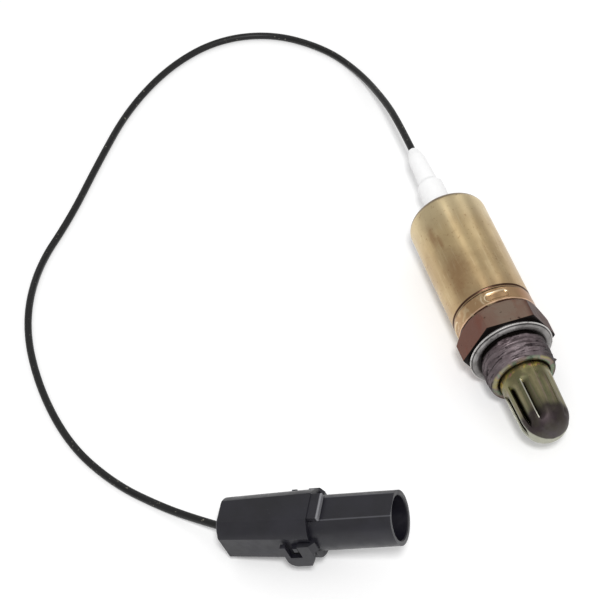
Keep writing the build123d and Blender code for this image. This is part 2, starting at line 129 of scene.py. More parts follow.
def softOutline(corners, arcStep=12):
    # a closed outline of (station, radius, softness) corners in mm: each soft corner becomes an arc
    # that is tangent to its two sides, and takes at most 0.45 of either side
    places = np.array([corner[:2] for corner in corners], dtype=float)
    outline = []
    for index, here in enumerate(places):
        toBefore = places[index - 1] - here
        toAfter = places[(index + 1) % len(places)] - here
        lengths = np.hypot(*toBefore), np.hypot(*toAfter)
        toBefore, toAfter = toBefore / lengths[0], toAfter / lengths[1]
        inside = math.acos(np.clip(toBefore @ toAfter, -1, 1))
        turn = math.pi - inside
        softness = corners[index][2]
        if softness == 0 or turn < 0.02:
            outline.append(here)
            continue
        reach = min(softness * math.tan(turn / 2), 0.45 * min(lengths))
        radius = reach / math.tan(turn / 2)
        middle = here + (toBefore + toAfter) / np.hypot(*(toBefore + toAfter)) * radius / math.cos(turn / 2)
        steps = max(2, math.ceil(math.degrees(turn) / arcStep))
        start, end = here + toBefore * reach - middle, here + toAfter * reach - middle
        for share in np.linspace(0, 1, steps + 1):
            # turned evenly from the arc's start to its end
            swept = start * math.sin((1 - share) * turn) + end * math.sin(share * turn)
            outline.append(middle + swept / math.sin(turn))
    return np.array(outline) * mm


def refined(outline, stepAt):
    # points added along each side of a closed outline, each about stepAt(station, radius) past the one before
    parts = []
    for here, after in zip(outline, np.roll(outline, -1, axis=0)):
        length = np.hypot(*(after - here))
        done = 0.0
        while done < length - 1e-9:
            parts.append(here + (after - here) * done / length)
            done += stepAt(*parts[-1])
    return np.array(parts)


def onSensor(station, radius, angle):
    # place of a station, a radius and an angle that runs from +Y towards +Z
    station, radius, angle = np.broadcast_arrays(station, radius, angle)
    return np.stack([sensorPlace["hexFaceX"] + station, radius * np.cos(angle),
                     sensorPlace["axisHeight"] + radius * np.sin(angle)], axis=-1)


def anglesRound(columns):
    return np.arange(columns) * 2 * math.pi / columns


def turnedPoints(outline, columns, relief=None):
    # the outline carried round the sensor's axis, its radius changed by relief(station, radius, angle)
    angle = anglesRound(columns)
    station, radius = outline[:, :1], outline[:, 1:]
    station, radius, angle = np.broadcast_arrays(station, radius, angle[None, :])
    if relief:
        radius = radius + relief(station, radius, angle)
    return onSensor(station, radius, angle)


def latticeHeight(cell, seed):
    # a repeatable height from 0 to 1 for each whole-number cell
    wave = np.sin(cell @ np.array([127.1, 311.7, 74.7]) + seed * 17.3) * 43758.5453
    return wave - np.floor(wave)


def smoothNoise(points, size, seed=0):
    # value noise: the heights at a cell's eight corners, blended with a smooth step
    cell = points / np.asarray(size)
    low = np.floor(cell)
    share = cell - low
    share = share * share * (3 - 2 * share)
    total = 0
    for corner in np.ndindex(2, 2, 2):
        weight = np.where(np.array(corner) == 1, share, 1 - share).prod(axis=-1)
        total = total + weight * latticeHeight(low + np.array(corner), seed)
    return total


def smoothStep(value, low, high):
    share = np.clip((value - low) / (high - low), 0, 1)
    return share * share * (3 - 2 * share)


def feed(node, inputs):
    # an input takes either a link from another node or a plain value
    for key, value in inputs.items():
        if isinstance(value, bpy.types.NodeSocket):
            node.id_data.links.new(value, node.inputs[key])
        else:
            node.inputs[key].default_value = value
    return node


def addNode(tree, kind, inputs=None, **settings):
    node = tree.nodes.new(kind)
    for key, value in settings.items():
        setattr(node, key, value)
    return feed(node, inputs or {})


def fedNode(kind, inputs, **settings):
    # a node in the same tree as whatever feeds it
    tree = next(value for value in inputs.values() if isinstance(value, bpy.types.NodeSocket)).id_data
    return addNode(tree, kind, inputs, **settings)


def mathNode(operation, first, second=0.0, clamp=False):
    return fedNode("ShaderNodeMath", {0: first, 1: second}, operation=operation, use_clamp=clamp).outputs[0]


def plus(first, second):
    return mathNode("ADD", first, second)


def minus(first, second, clamp=False):
    return mathNode("SUBTRACT", first, second, clamp)


def times(first, second, clamp=False):
    return mathNode("MULTIPLY", first, second, clamp)


def offNode(value, middle):
    # how far a value is from a middle, either way
    return mathNode("ABSOLUTE", minus(value, middle))


def vectorNode(operation, first, second=(0, 0, 0)):
    return fedNode("ShaderNodeVectorMath", {0: first, 1: second}, operation=operation).outputs


def splitNode(vector):
    return fedNode("ShaderNodeSeparateXYZ", {0: vector}).outputs


def markNode(place, name):
    # one of the masks that the mesh carries
    return addNode(place.id_data, "ShaderNodeAttribute", attribute_name=name).outputs["Fac"]


def noiseNode(vector, scale, detail=3.0, roughness=0.55, distortion=0.0):
    return fedNode("ShaderNodeTexNoise", {"Vector": vector, "Scale": scale, "Detail": detail,
                                          "Roughness": roughness, "Distortion": distortion}).outputs["Fac"]


def rangeNode(value, low, high, toLow=0.0, toHigh=1.0):
    inputs = {"Value": value, "From Min": low, "From Max": high, "To Min": toLow, "To Max": toHigh}
    return fedNode("ShaderNodeMapRange", inputs, interpolation_type="SMOOTHSTEP").outputs[0]


def bumpNode(height, strength, distance):
    return fedNode("ShaderNodeBump", {"Height": height, "Strength": strength, "Distance": distance}).outputs[0]


def srgb(red, green, blue):
    # a colour given as 0 to 255 screen values, in the linear values that shaders read
    linear = [value / 255 / 12.92 if value <= 10 else ((value / 255 + 0.055) / 1.055) ** 2.4
              for value in (red, green, blue)]
    return (*linear, 1.0)


def mixColour(share, first, second):
    return fedNode("ShaderNodeMix", {0: share, 6: first, 7: second}, data_type="RGBA").outputs[2]


def layered(colour, *layers):
    # tones laid over a colour in turn, each as (tone, mask), or as (tone, value, low, high, share)
    # where the mask grows from 0 to the share, or to 1, while the value runs from low to high
    for tone, mask, *span in layers:
        if span:
            low, high, share = (*span, 1.0)[:3]
            mask = rangeNode(mask, low, high, 0.0, share)
        colour = mixColour(mask, colour, tone)
    return colour


def rampNode(value, stops):
    node = fedNode("ShaderNodeValToRGB", {0: value})
    node.color_ramp.interpolation = "EASE"
    elements = node.color_ramp.elements
    while len(elements) < len(stops):
        elements.new(0.5)
    for element, (place, colour) in zip(elements, stops):
        element.position, element.color = place, colour
    return node.outputs[0]


def newMaterial(name):
    material = bpy.data.materials.new(name)
    material.use_nodes = True
    tree = material.node_tree
    return material, tree.nodes["Principled BSDF"], addNode(tree, "ShaderNodeTexCoord").outputs["Object"]


def dressed(material, shader, colour, rough, metal, normal):
    feed(shader, {"Base Color": colour, "Roughness": rough, "Metallic": metal, "Normal": normal})
    return material


def newGroup(name, vectors, numbers, results):
    tree = bpy.data.node_groups.new(name, "ShaderNodeTree")
    for way, kind, labels in (("INPUT", "Vector", vectors), ("INPUT", "Float", numbers), ("OUTPUT", "Float", results)):
        for label in labels:
            tree.interface.new_socket(label, in_out=way, socket_type="NodeSocket" + kind)
    return tree, tree.nodes.new("NodeGroupInput").outputs, tree.nodes.new("NodeGroupOutput")


def placeGroup(group, inputs):
    return fedNode("ShaderNodeGroup", inputs, node_tree=group).outputs


def makeMottle():
    # uneven tint: a mask of wide clouds, and a mask of small specks
    tree, given, out = newGroup("mottle", ["Vector"], ["Cloud Size", "Speck Size", "Speck Amount"], ["Cloud", "Speck"])
    wide = noiseNode(given["Vector"], given["Cloud Size"], 4.0, 0.6, 0.3)
    fine = noiseNode(given["Vector"], given["Speck Size"], 2.0, 0.5)
    edge = minus(0.78, times(given["Speck Amount"], 0.25))
    feed(out, {"Cloud": rangeNode(wide, 0.3, 0.7), "Speck": times(minus(fine, edge, True), 9.0, True)})
    return tree


def makeSpot():
    # a soft-edged patch round a place on the surface, its edge made uneven by a cloud
    tree, given, out = newGroup("spot", ["Vector", "Centre", "Stretch"], ["Reach", "Raggedness"], ["Mask"])
    offset = vectorNode("SUBTRACT", given["Vector"], given["Centre"])[0]
    offset = vectorNode("MULTIPLY", offset, given["Stretch"])[0]
    away = mathNode("DIVIDE", vectorNode("LENGTH", offset)["Value"], given["Reach"])
    cloud = minus(noiseNode(given["Vector"], 420.0, 4.0, 0.65), 0.5)
    feed(out, {"Mask": rangeNode(plus(away, times(cloud, given["Raggedness"])), 1.0, 0.1)})
    return tree


def makeScuff():
    # fine lines drawn round the sensor's axis, as turning and handling leave them
    tree, given, out = newGroup("scuff", ["Vector"], ["Along", "Across"], ["Lines"])
    scaled = {index: times(part, given[scale])
              for index, (part, scale) in enumerate(zip(splitNode(given["Vector"]), ("Along", "Across", "Across")))}
    feed(out, {"Lines": noiseNode(fedNode("ShaderNodeCombineXYZ", scaled).outputs[0], 1.0, 3.0, 0.6)})
    return tree


mottle, spot, scuff = makeMottle(), makeSpot(), makeScuff()


def mottled(place, cloudSize, speckSize, speckAmount):
    # the clouds and the specks
    made = placeGroup(mottle, {"Vector": place, "Cloud Size": cloudSize, "Speck Size": speckSize,
                               "Speck Amount": speckAmount})
    return made["Cloud"], made["Speck"]


def scuffed(place, along, across):
    return placeGroup(scuff, {"Vector": place, "Along": along, "Across": across})["Lines"]


def stationNode(place):
    # distance along the sensor from the hexagon's front face, in mm
    return times(minus(splitNode(place)[0], sensorPlace["hexFaceX"]), 1000.0)


# in the tints, a pair of lengths is where a tint starts to show and where it is full: along the
# sensor in mm from the hexagon's front face, across it in metres
shellTint = {
    "gold": srgb(206, 182, 138), "straw": srgb(222, 206, 168), "shade": srgb(176, 150, 112), "heat": srgb(146, 98, 62),
    "band": srgb(176, 142, 106), "paintedShade": srgb(66, 42, 36), "bright": srgb(255, 240, 205), "pale": srgb(248, 208, 176),
    "strawRear": (-34.0, -45.0), "brownFront": (-20.0, -11.0), "frontBand": (-12.4, -12.1),
    "rearRim": (-45.9, -46.9), "frontRim": (-7.32, -7.2), "rolledEdge": -7.5, "groove": -12.3, "grooveWall": 0.36,
    "paintedShadeSide": (4.5 * mm, 8.0 * mm), "blotchedSide": (0.0, -4.0 * mm),
    # soft dark patches: where they are and how far they reach, in mm, how they stretch, and how strong they are
    "patches": [
        ((0.6, -6.0, 20.5), 6.6, (0.7, 1.1, 1.1)), ((4.6, -7.2, 19.6), 3.6, (0.6, 1.2, 1.2)),
        ((-14.2, -8.0, 18.8), 2.2, (0.36, 1.5, 1.3)), ((-11.0, -6.8, 19.9), 1.5, (0.4, 1.5, 1.3))],
    "patchShares": (0.44, 0.22, 0.5, 0.5),
}


def makeShellSteel(tint):
    # drawn steel gone brass-gold with heat: browner in patches, painted shade in the groove, pinker beside the hexagon
    material, shader, place = newMaterial("goldenShellSteel")
    along, across = stationNode(place), splitNode(place)[1]
    cloud, speck = mottled(place, 75.0, 1250.0, 0.6)
    streak, drawn = scuffed(place, 25.0, 420.0), scuffed(place, 110.0, 1500.0)
    front = rangeNode(along, *tint["frontBand"])
    patches = [placeGroup(spot, {"Vector": place, "Centre": [value * mm for value in centre], "Stretch": stretch,
                                 "Reach": reach * mm, "Raggedness": 0.9})["Mask"]
               for centre, reach, stretch in tint["patches"]]
    ragged = plus(along, times(noiseNode(place, 330.0, 3.0), 0.5))
    blotch = rangeNode(noiseNode(place, 380.0, 4.0, 0.65, 0.8), 0.5, 0.64, 0.0, 0.35)
    wall = rangeNode(offNode(offNode(along, tint["groove"]), tint["grooveWall"]), 0.32, 0.18)
    colour = layered(
        tint["shade"],
        (tint["gold"], rangeNode(cloud, 0.0, 1.0, 0.35, 1.0)),
        (tint["straw"], streak, 0.45, 0.8, 0.3),
        (tint["straw"], drawn, 0.58, 0.72, 0.4),
        (tint["shade"], drawn, 0.4, 0.3, 0.3),
        (tint["straw"], along, *tint["strawRear"], 0.55),
        (tint["band"], plus(along, times(cloud, 3.0)), *tint["brownFront"], 0.35),
        (tint["band"], times(front, 0.85)),
        # painted shade: the heat tone laid over the front band towards +Y
        (tint["heat"], times(front, rangeNode(across, *tint["paintedShadeSide"], 0.0, 0.6))),
        *((tint["heat"], times(patch, share)) for patch, share in zip(patches, tint["patchShares"])),
        (tint["heat"], times(speck, 0.5)),
        # painted shade: a dark line on each wall of the groove; then the rolled front edge, and before it a dark line
        # of painted shadow at the hexagon
        (tint["paintedShade"], times(wall, 0.95)),
        (tint["pale"], offNode(ragged, tint["rolledEdge"]), 0.28, 0.1, 0.55),
        (tint["paintedShade"], ragged, *tint["frontRim"], 0.97),
        # blotches on the band, the rear rim darkened as painted shade, and painted highlights round the dents
        (tint["straw"], times(times(front, blotch), rangeNode(across, *tint["blotchedSide"]))),
        (tint["paintedShade"], along, *tint["rearRim"], 0.75),
        (tint["bright"], markNode(place, "dentGlint")))
    rough = rangeNode(noiseNode(place, 260.0, 4.0, 0.6), 0.3, 0.7, 0.31, 0.4)
    height = plus(times(scuffed(place, 500.0, 900.0), 0.2), noiseNode(place, 140.0, 2.0, 0.5))
    return dressed(material, shader, colour, rough, 1.0, bumpNode(height, 0.25, 0.0003))


hexTint = {
    "brown": srgb(114, 82, 72), "mauve": srgb(124, 107, 94), "black": srgb(26, 22, 21), "pasteDark": srgb(84, 72, 75),
    "pasteLight": srgb(150, 138, 141), "streak": srgb(34, 27, 29), "rust": srgb(118, 64, 50),
    "edge": srgb(176, 140, 126), "side": srgb(84, 62, 56), "sheen": (0.2, 0.18, 0.18, 1.0),
    "lipTones": [
        (0.36, srgb(140, 136, 118)), (0.46, srgb(154, 146, 104)), (0.52, srgb(142, 126, 120)),
        (0.58, srgb(120, 136, 116)), (0.66, srgb(140, 136, 118))],
    "frontFace": (-0.2, -0.1), "backFace": (-6.8, -6.95), "paste": (2.4, 3.0), "lip": (9.9, 10.35),
    "middle": (7.6 * mm, 5.2 * mm), "paintedShadeSide": (5.0 * mm, 6.5 * mm),
    "pasteShadedSides": (4.0 * mm, 8.2 * mm), "pasteShade": (2.5 * mm, 6.5 * mm),
}


def makeHexSteel(tint):
    # plated steel gone brown and mauve with heat, its front face painted black as shade and its sides darkened as
    # painted shade; grey paste over the thread; a tinted lip
    material, shader, place = newMaterial("brownHexSteel")
    along, across = stationNode(place), splitNode(place)[1]
    eitherSide = mathNode("ABSOLUTE", across)
    cloud, speck = mottled(place, 120.0, 900.0, 0.25)
    # paste brushed on in slanting strokes, darker in its streaks; darker towards both sides and towards +Y as painted
    # shade
    fine = scuffed(place, 1500.0, 260.0)
    slanting = fedNode("ShaderNodeMapping", {"Vector": place, "Rotation": (0, 0, 0.5), "Scale": (900, 240, 240)})
    grey = layered(
        tint["pasteDark"],
        (tint["pasteLight"], cloud),
        (tint["streak"], fine, 0.46, 0.36, 0.85),
        (tint["streak"], noiseNode(slanting.outputs[0], 1.0, 3.0, 0.7, 0.6), 0.4, 0.3, 0.8),
        # painted shade: darker towards both sides and towards +Y
        (tint["streak"], eitherSide, *tint["pasteShadedSides"], 0.45),
        (tint["streak"], across, *tint["pasteShade"], 0.5))
    lip = rangeNode(along, *tint["lip"])
    colour = layered(
        tint["brown"],
        # partly painted shade: the mauve is kept to the middle, so the side flats stay a darker brown
        (tint["mauve"], times(rangeNode(cloud, 0.0, 1.0, 0.5, 1.0), rangeNode(eitherSide, *tint["middle"]))),
        (tint["rust"], noiseNode(place, 170.0, 3.0, 0.6, 0.5), 0.52, 0.7, 0.35),
        # painted shade: darker towards +Y
        (tint["side"], across, *tint["paintedShadeSide"], 0.8),
        # painted highlight: a pale line along the bevel cone at the back
        (tint["edge"], times(markNode(place, "backCone"), 0.6)),
        (tint["black"], noiseNode(place, 620.0, 2.0, 0.5), 0.68, 0.74, 0.75),
        (tint["black"], times(speck, 0.7)),
        # painted shade: the front face, and a thin band at the back where it meets the shell, painted black
        (tint["black"], along, *tint["frontFace"]),
        (tint["black"], along, *tint["backFace"]),
        (grey, along, *tint["paste"]),
        (rampNode(noiseNode(place, 150.0, 2.0, 0.5, 0.6), tint["lipTones"]), lip),
        (tint["streak"], times(lip, rangeNode(fine, 0.45, 0.3, 0.0, 0.6))))
    feed(shader, {"Specular IOR Level": 0.3, "Specular Tint": tint["sheen"]})
    rough = plus(rangeNode(cloud, 0, 1, 0.44, 0.36), times(lip, -0.1))
    height = plus(noiseNode(place, 900.0, 3.0, 0.6), times(noiseNode(place, 190.0, 2.0), 1.6))
    return dressed(material, shader, colour, rough, plus(0.42, times(lip, 0.4)), bumpNode(height, 0.35, 0.0002))


gasketTint = {
    "dark": srgb(120, 117, 115), "light": srgb(170, 167, 166), "side": srgb(96, 92, 90), "inside": srgb(62, 54, 54),
    "rim": srgb(214, 211, 208), "fold": srgb(30, 26, 26), "speck": srgb(52, 44, 44),
    "paintedShadeSide": (3.0 * mm, 8.0 * mm),
    # distances from the axis
    "insideFrom": (9.9 * mm, 9.4 * mm), "rimHighlightFrom": (11.05 * mm, 11.2 * mm), "foldLine": 10.92 * mm,
}


def makeGasketSteel(tint):
    # grey pressed steel: dark inside, a fold line darkened as painted shade, a painted highlight on the rim, and
    # painted shade towards +Y
    material, shader, place = newMaterial("greyGasketSteel")
    cloud, speck = mottled(place, 220.0, 1300.0, 0.8)
    parts = splitNode(place)
    across, level = parts[1], minus(parts[2], sensorPlace["axisHeight"])
    away = mathNode("SQRT", plus(mathNode("POWER", across, 2.0), mathNode("POWER", level, 2.0)))
    lines = scuffed(place, 3200.0, 420.0)
    colour = layered(
        tint["dark"],
        (tint["light"], cloud),
        # painted shade: darker towards +Y
        (tint["side"], across, *tint["paintedShadeSide"], 0.4),
        (tint["inside"], away, *tint["insideFrom"], 0.7),
        # painted highlight: a pale band on the outer rim
        (tint["rim"], away, *tint["rimHighlightFrom"], 0.8),
        # painted shade: a dark line in the fold
        (tint["fold"], offNode(away, tint["foldLine"]), 0.14 * mm, 0.06 * mm, 0.9),
        (tint["speck"], times(speck, 0.6)))
    return dressed(material, shader, colour, rangeNode(lines, 0.3, 0.7, 0.38, 0.52), 0.5, bumpNode(lines, 0.3, 0.00012))


shieldTint = {
    # along the tube, from the root's station over the given length: straw, olive, then the dome's dark violet,
    # lightened at the tip as a painted highlight
    "rootStation": 8.0, "length": 22.0, "along": [
        (0.0, srgb(124, 110, 80)), (0.13, srgb(124, 112, 78)), (0.2, srgb(134, 129, 92)), (0.45, srgb(118, 114, 86)),
        (0.66, srgb(104, 101, 80)), (0.76, srgb(68, 60, 60)), (0.9, srgb(66, 58, 60)), (1.0, srgb(84, 78, 80))],
    "glints": [
        (0.36, srgb(206, 190, 104)), (0.46, srgb(240, 214, 110)), (0.5, srgb(206, 126, 134)),
        (0.55, srgb(150, 160, 96)), (0.62, srgb(214, 180, 96))],
    "drifts": [
        (0.4, srgb(122, 120, 84)), (0.47, srgb(150, 124, 118)), (0.53, srgb(116, 122, 88)), (0.6, srgb(146, 136, 104))],
    "cloud": srgb(84, 82, 66), "speck": srgb(44, 38, 38), "sootAndShade": srgb(36, 35, 27), "bare": srgb(222, 220, 206),
    "paleUnder": srgb(178, 178, 163),
    "glintsStart": (10.6, 11.0), "glintsEnd": (12.6, 11.6), "driftsStart": (12.5, 15.0), "driftsEnd": (24.5, 22.0),
    "paleUnderStart": (15.0, 24.0), "dome": (23.5, 26.0),
}


def makeShieldSteel(tint):
    # stainless sheet tinted by heat, with straw, pink and green patches round the root whose heat tint is brightened as
    # painted highlights
    material, shader, place = newMaterial("heatTintedShield")
    along = stationNode(place)
    cloud, speck = mottled(place, 260.0, 1500.0, 0.5)
    streak = scuffed(place, 35.0, 700.0)
    drift = times(minus(streak, 0.5), 3.0)
    share = mathNode("DIVIDE", minus(plus(along, drift), tint["rootStation"]), tint["length"])
    root = times(rangeNode(along, *tint["glintsStart"]), rangeNode(along, *tint["glintsEnd"]))
    patchy = rangeNode(noiseNode(place, 330.0, 2.0, 0.5), 0.46, 0.6, 0.1, 0.9)
    body = times(rangeNode(along, *tint["driftsStart"]), rangeNode(along, *tint["driftsEnd"], 0.0, 0.5))
    paleUnder = times(rangeNode(markNode(place, "underside"), 0.03, 0.1), rangeNode(along, *tint["paleUnderStart"], 0.0, 0.9))
    colour = layered(
        rampNode(share, tint["along"]),
        # heat tint round the root, its colours brightened as painted highlights
        (rampNode(noiseNode(place, 210.0, 3.0, 0.6, 1.0), tint["glints"]), times(root, patchy)),
        # paler pink and green drifts along the body
        (rampNode(streak, tint["drifts"]), body),
        (tint["cloud"], cloud, 0.0, 1.0, 0.35),
        (tint["speck"], times(speck, 0.4)),
        # painted shade with some soot where the flaps dip; bare metal on the cut edges, brightened as painted
        # highlights
        (tint["sootAndShade"], markNode(place, "recess"), 0.35, 1.0, 0.88),
        (tint["bare"], markNode(place, "cutEdgeHighlight"), 0.3, 0.9),
        # last, a pale steel tone over the faces that lean down, more towards -Y, from partway along the tube
        (tint["paleUnder"], paleUnder))
    rough = plus(rangeNode(streak, 0.3, 0.7, 0.26, 0.38), rangeNode(along, *tint["dome"], 0.0, 0.2))
    height = noiseNode(place, 240.0, 3.0, 0.5)
    return dressed(material, shader, colour, rough, 1.0, bumpNode(height, 0.25, 0.0002))


def makeBootPolymer():
    # white moulding with a few dull specks
    material, shader, place = newMaterial("whiteBoot")
    cloud, speck = mottled(place, 160.0, 1100.0, 0.4)
    colour = layered(srgb(253, 253, 253), (srgb(255, 255, 255), cloud), (srgb(200, 196, 188), times(speck, 0.12)))
    height = noiseNode(place, 700.0, 2.0)
    return dressed(material, shader, colour, rangeNode(cloud, 0, 1, 0.42, 0.52), 0.0, bumpNode(height, 0.15, 0.0001))


def makeLeadJacket():
    # black jacket with pale dust specks
    material, shader, place = newMaterial("blackLeadJacket")
    cloud, speck = mottled(place, 120.0, 1100.0, 0.45)
    colour = layered(srgb(6, 6, 7), (srgb(14, 14, 13), cloud), (srgb(150, 146, 132), times(speck, 0.7)))
    feed(shader, {"Specular IOR Level": 0.4})
    rough = rangeNode(noiseNode(place, 22.0, 1.0), 0.42, 0.6, 0.55, 0.3)
    return dressed(material, shader, colour, rough, 0.0, bumpNode(noiseNode(place, 500.0, 3.0), 0.2, 0.0001))


plugTint = {
    "dark": srgb(16, 15, 22), "light": srgb(24, 23, 32), "speck": srgb(120, 120, 122),
    "flatEdgeHighlight": srgb(126, 126, 132), "plateEdgeHighlight": srgb(150, 150, 154),
    # the tube's flat: half its width, its height and where it starts; the raised plate: its front and its height
    "flatSide": 3.27 * mm, "flatRise": 5.85 * mm, "flatStart": (26.9 * mm, 27.1 * mm),
    "plateFront": 26.75 * mm, "plateRise": (5.9 * mm, 6.1 * mm),
}


def makePlugPlastic(tint):
    # charcoal moulding with a fine even grain, a few pale dust specks, and painted highlights along some edges
    material, shader, place = newMaterial("charcoalPlug")
    cloud, speck = mottled(place, 110.0, 1700.0, 0.2)
    # painted highlights: pale lines along both sides of the tube's flat, and across the front of the raised plate
    offset = vectorNode("SUBTRACT", place, plugPlace["rear"])[0]
    station, side, rise = (vectorNode("DOT_PRODUCT", offset, plugPlace[way])["Value"]
                           for way in ("forward", "sideward", "upward"))
    offLine = offNode(mathNode("ABSOLUTE", side), tint["flatSide"])
    flatEdgeHighlight = rangeNode(mathNode("MAXIMUM", offLine, offNode(rise, tint["flatRise"])), 0.26 * mm, 0.08 * mm, 0.0, 0.26)
    plateEdgeHighlight = times(rangeNode(offNode(station, tint["plateFront"]), 0.5 * mm, 0.2 * mm),
                      rangeNode(rise, *tint["plateRise"]))
    colour = layered(
        tint["dark"],
        (tint["light"], cloud),
        (tint["speck"], times(speck, 0.3)),
        (tint["flatEdgeHighlight"], times(flatEdgeHighlight, rangeNode(station, *tint["flatStart"]))),
        (tint["plateEdgeHighlight"], times(plateEdgeHighlight, 0.7)))
    rough = rangeNode(noiseNode(place, 300.0, 4.0), 0.3, 0.7, 0.36, 0.5)
    return dressed(material, shader, colour, rough, 0.0, bumpNode(noiseNode(place, 3600.0, 2.0, 0.5), 0.25, 0.00004))


def makeInnerFinish(name, dark, light, metal, rough, grain):
    # the pieces inside: a two-tone tint with a fine grain
    material, shader, place = newMaterial(name)
    cloud = mottled(place, 200.0, grain, 0.3)[0]
    rough = rangeNode(cloud, 0, 1, rough - 0.05, rough + 0.07)
    normal = bumpNode(noiseNode(place, grain, 3.0), 0.2, 0.0001)
    return dressed(material, shader, mixColour(cloud, dark, light), rough, metal, normal)


finishes = {
    "shell": makeShellSteel(shellTint), "hex": makeHexSteel(hexTint), "gasket": makeGasketSteel(gasketTint),
    "shield": makeShieldSteel(shieldTint), "boot": makeBootPolymer(), "lead": makeLeadJacket(),
    "plug": makePlugPlastic(plugTint),
}
innerTints = {
    "innerSteel": (srgb(140, 138, 134), srgb(190, 188, 184), 1.0, 0.32, 1200.0),
    "zirconia": (srgb(214, 210, 200), srgb(232, 229, 220), 0.0, 0.5, 1500.0),
    "alumina": (srgb(226, 224, 218), srgb(240, 238, 233), 0.0, 0.55, 1500.0),
    "talc": (srgb(168, 172, 166), srgb(196, 198, 192), 0.0, 0.85, 2200.0),
    "sealRubber": (srgb(24, 24, 25), srgb(40, 40, 41), 0.0, 0.6, 1500.0),
    "tinnedBrass": (srgb(170, 158, 128), srgb(214, 204, 176), 1.0, 0.28, 1200.0),
}
for name, facts in innerTints.items():
    finishes[name] = makeInnerFinish(name, *facts)
cadFinish = {
    "innerSteel": ("seal_washer", "packing_ring", "contact_bush", "contact_rod", "disc_spring", "crimp_sleeve"),
    "zirconia": ("zirconia_element",), "talc": ("talc_packing",), "alumina": ("support_ceramic",),
    "sealRubber": ("cable_seal",), "tinnedBrass": ("pin_terminal",), "plug": ("plug_housing", "wire_lock"),
}
for finish, nodes in cadFinish.items():
    for node in nodes:
        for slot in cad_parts[node].material_slots:
            slot.material = finishes[finish]
print("finishes made")


leadFacts = {"diameter": 2.0 * mm, "length": 0.317, "stiffness": "stiff"}
# where the lead's line is drawn towards, in mm: off the boot, down to the floor, round and up to the plug
leadRoute = [(x * mm, y * mm, z * mm) for x, y, z in (
    (-52.6, 0, 11.4), (-63.5, 0, 11.4), (-78.5, 0.5, 7), (-98.5, -1, 1), (-112, -7.5, 1), (-124, -20.5, 1),
    (-127.5, -37, 1), (-121.5, -54, 1), (-108, -70.5, 1), (-90, -84, 1), (-72, -96.5, 1), (-56.5, -110, 1),
    (-37.5, -117.5, 1), (-15.5, -118.5, 1), (5.5, -115, 1), (21.2, -107, 1), (32.4, -97.1, 1), (42.3, -88.4, 4.2),
)] + [plugPlace["rear"]]


def makeLead(route, facts):
    curve = bpy.data.curves.new("leadWire", "CURVE")
    curve.dimensions = "3D"
    curve.bevel_depth = facts["diameter"] / 2
    curve.bevel_resolution = 6
    curve.use_fill_caps = True
    spline = curve.splines.new("NURBS")
    spline.points.add(len(route) - 1)
    for point, place in zip(spline.points, route):
        point.co = (*place, 1)
    spline.order_u = 3
    spline.use_endpoint_u = True
    spline.resolution_u = 24
    curve.materials.append(finishes["lead"])
    lead = placed("leadWire", curve)
    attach(lead, "root")
    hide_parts("lead_wire")
    runs = [math.dist(here, after) for here, after in zip(route, route[1:])]
    print(f"lead: {len(route)} points, {sum(runs):.3f} m of runs")


makeLead(leadRoute, leadFacts)


# drawn cup with a rolled groove, staked dents and a rounded rear rim
shellSize = {
    "front": -7.0, "back": -48.4, "radius": 10.9, "wall": 0.7, "hole": 3.75, "corner": 2.8,
    "groove": -12.3, "grooveHalf": 0.55, "grooveDepth": 0.28, "columns": 500,
    "dentStation": -9.6, "dentAngle": 90, "dentSweep": 33, "dentHalf": 1.2, "dentDepth": 0.32, "dentCount": 4,
    # spacing of the outline's points, and the stations between which it is fine
    "fineStep": 0.14, "coarseStep": 1.2, "detailed": (-14, -6.9),
}


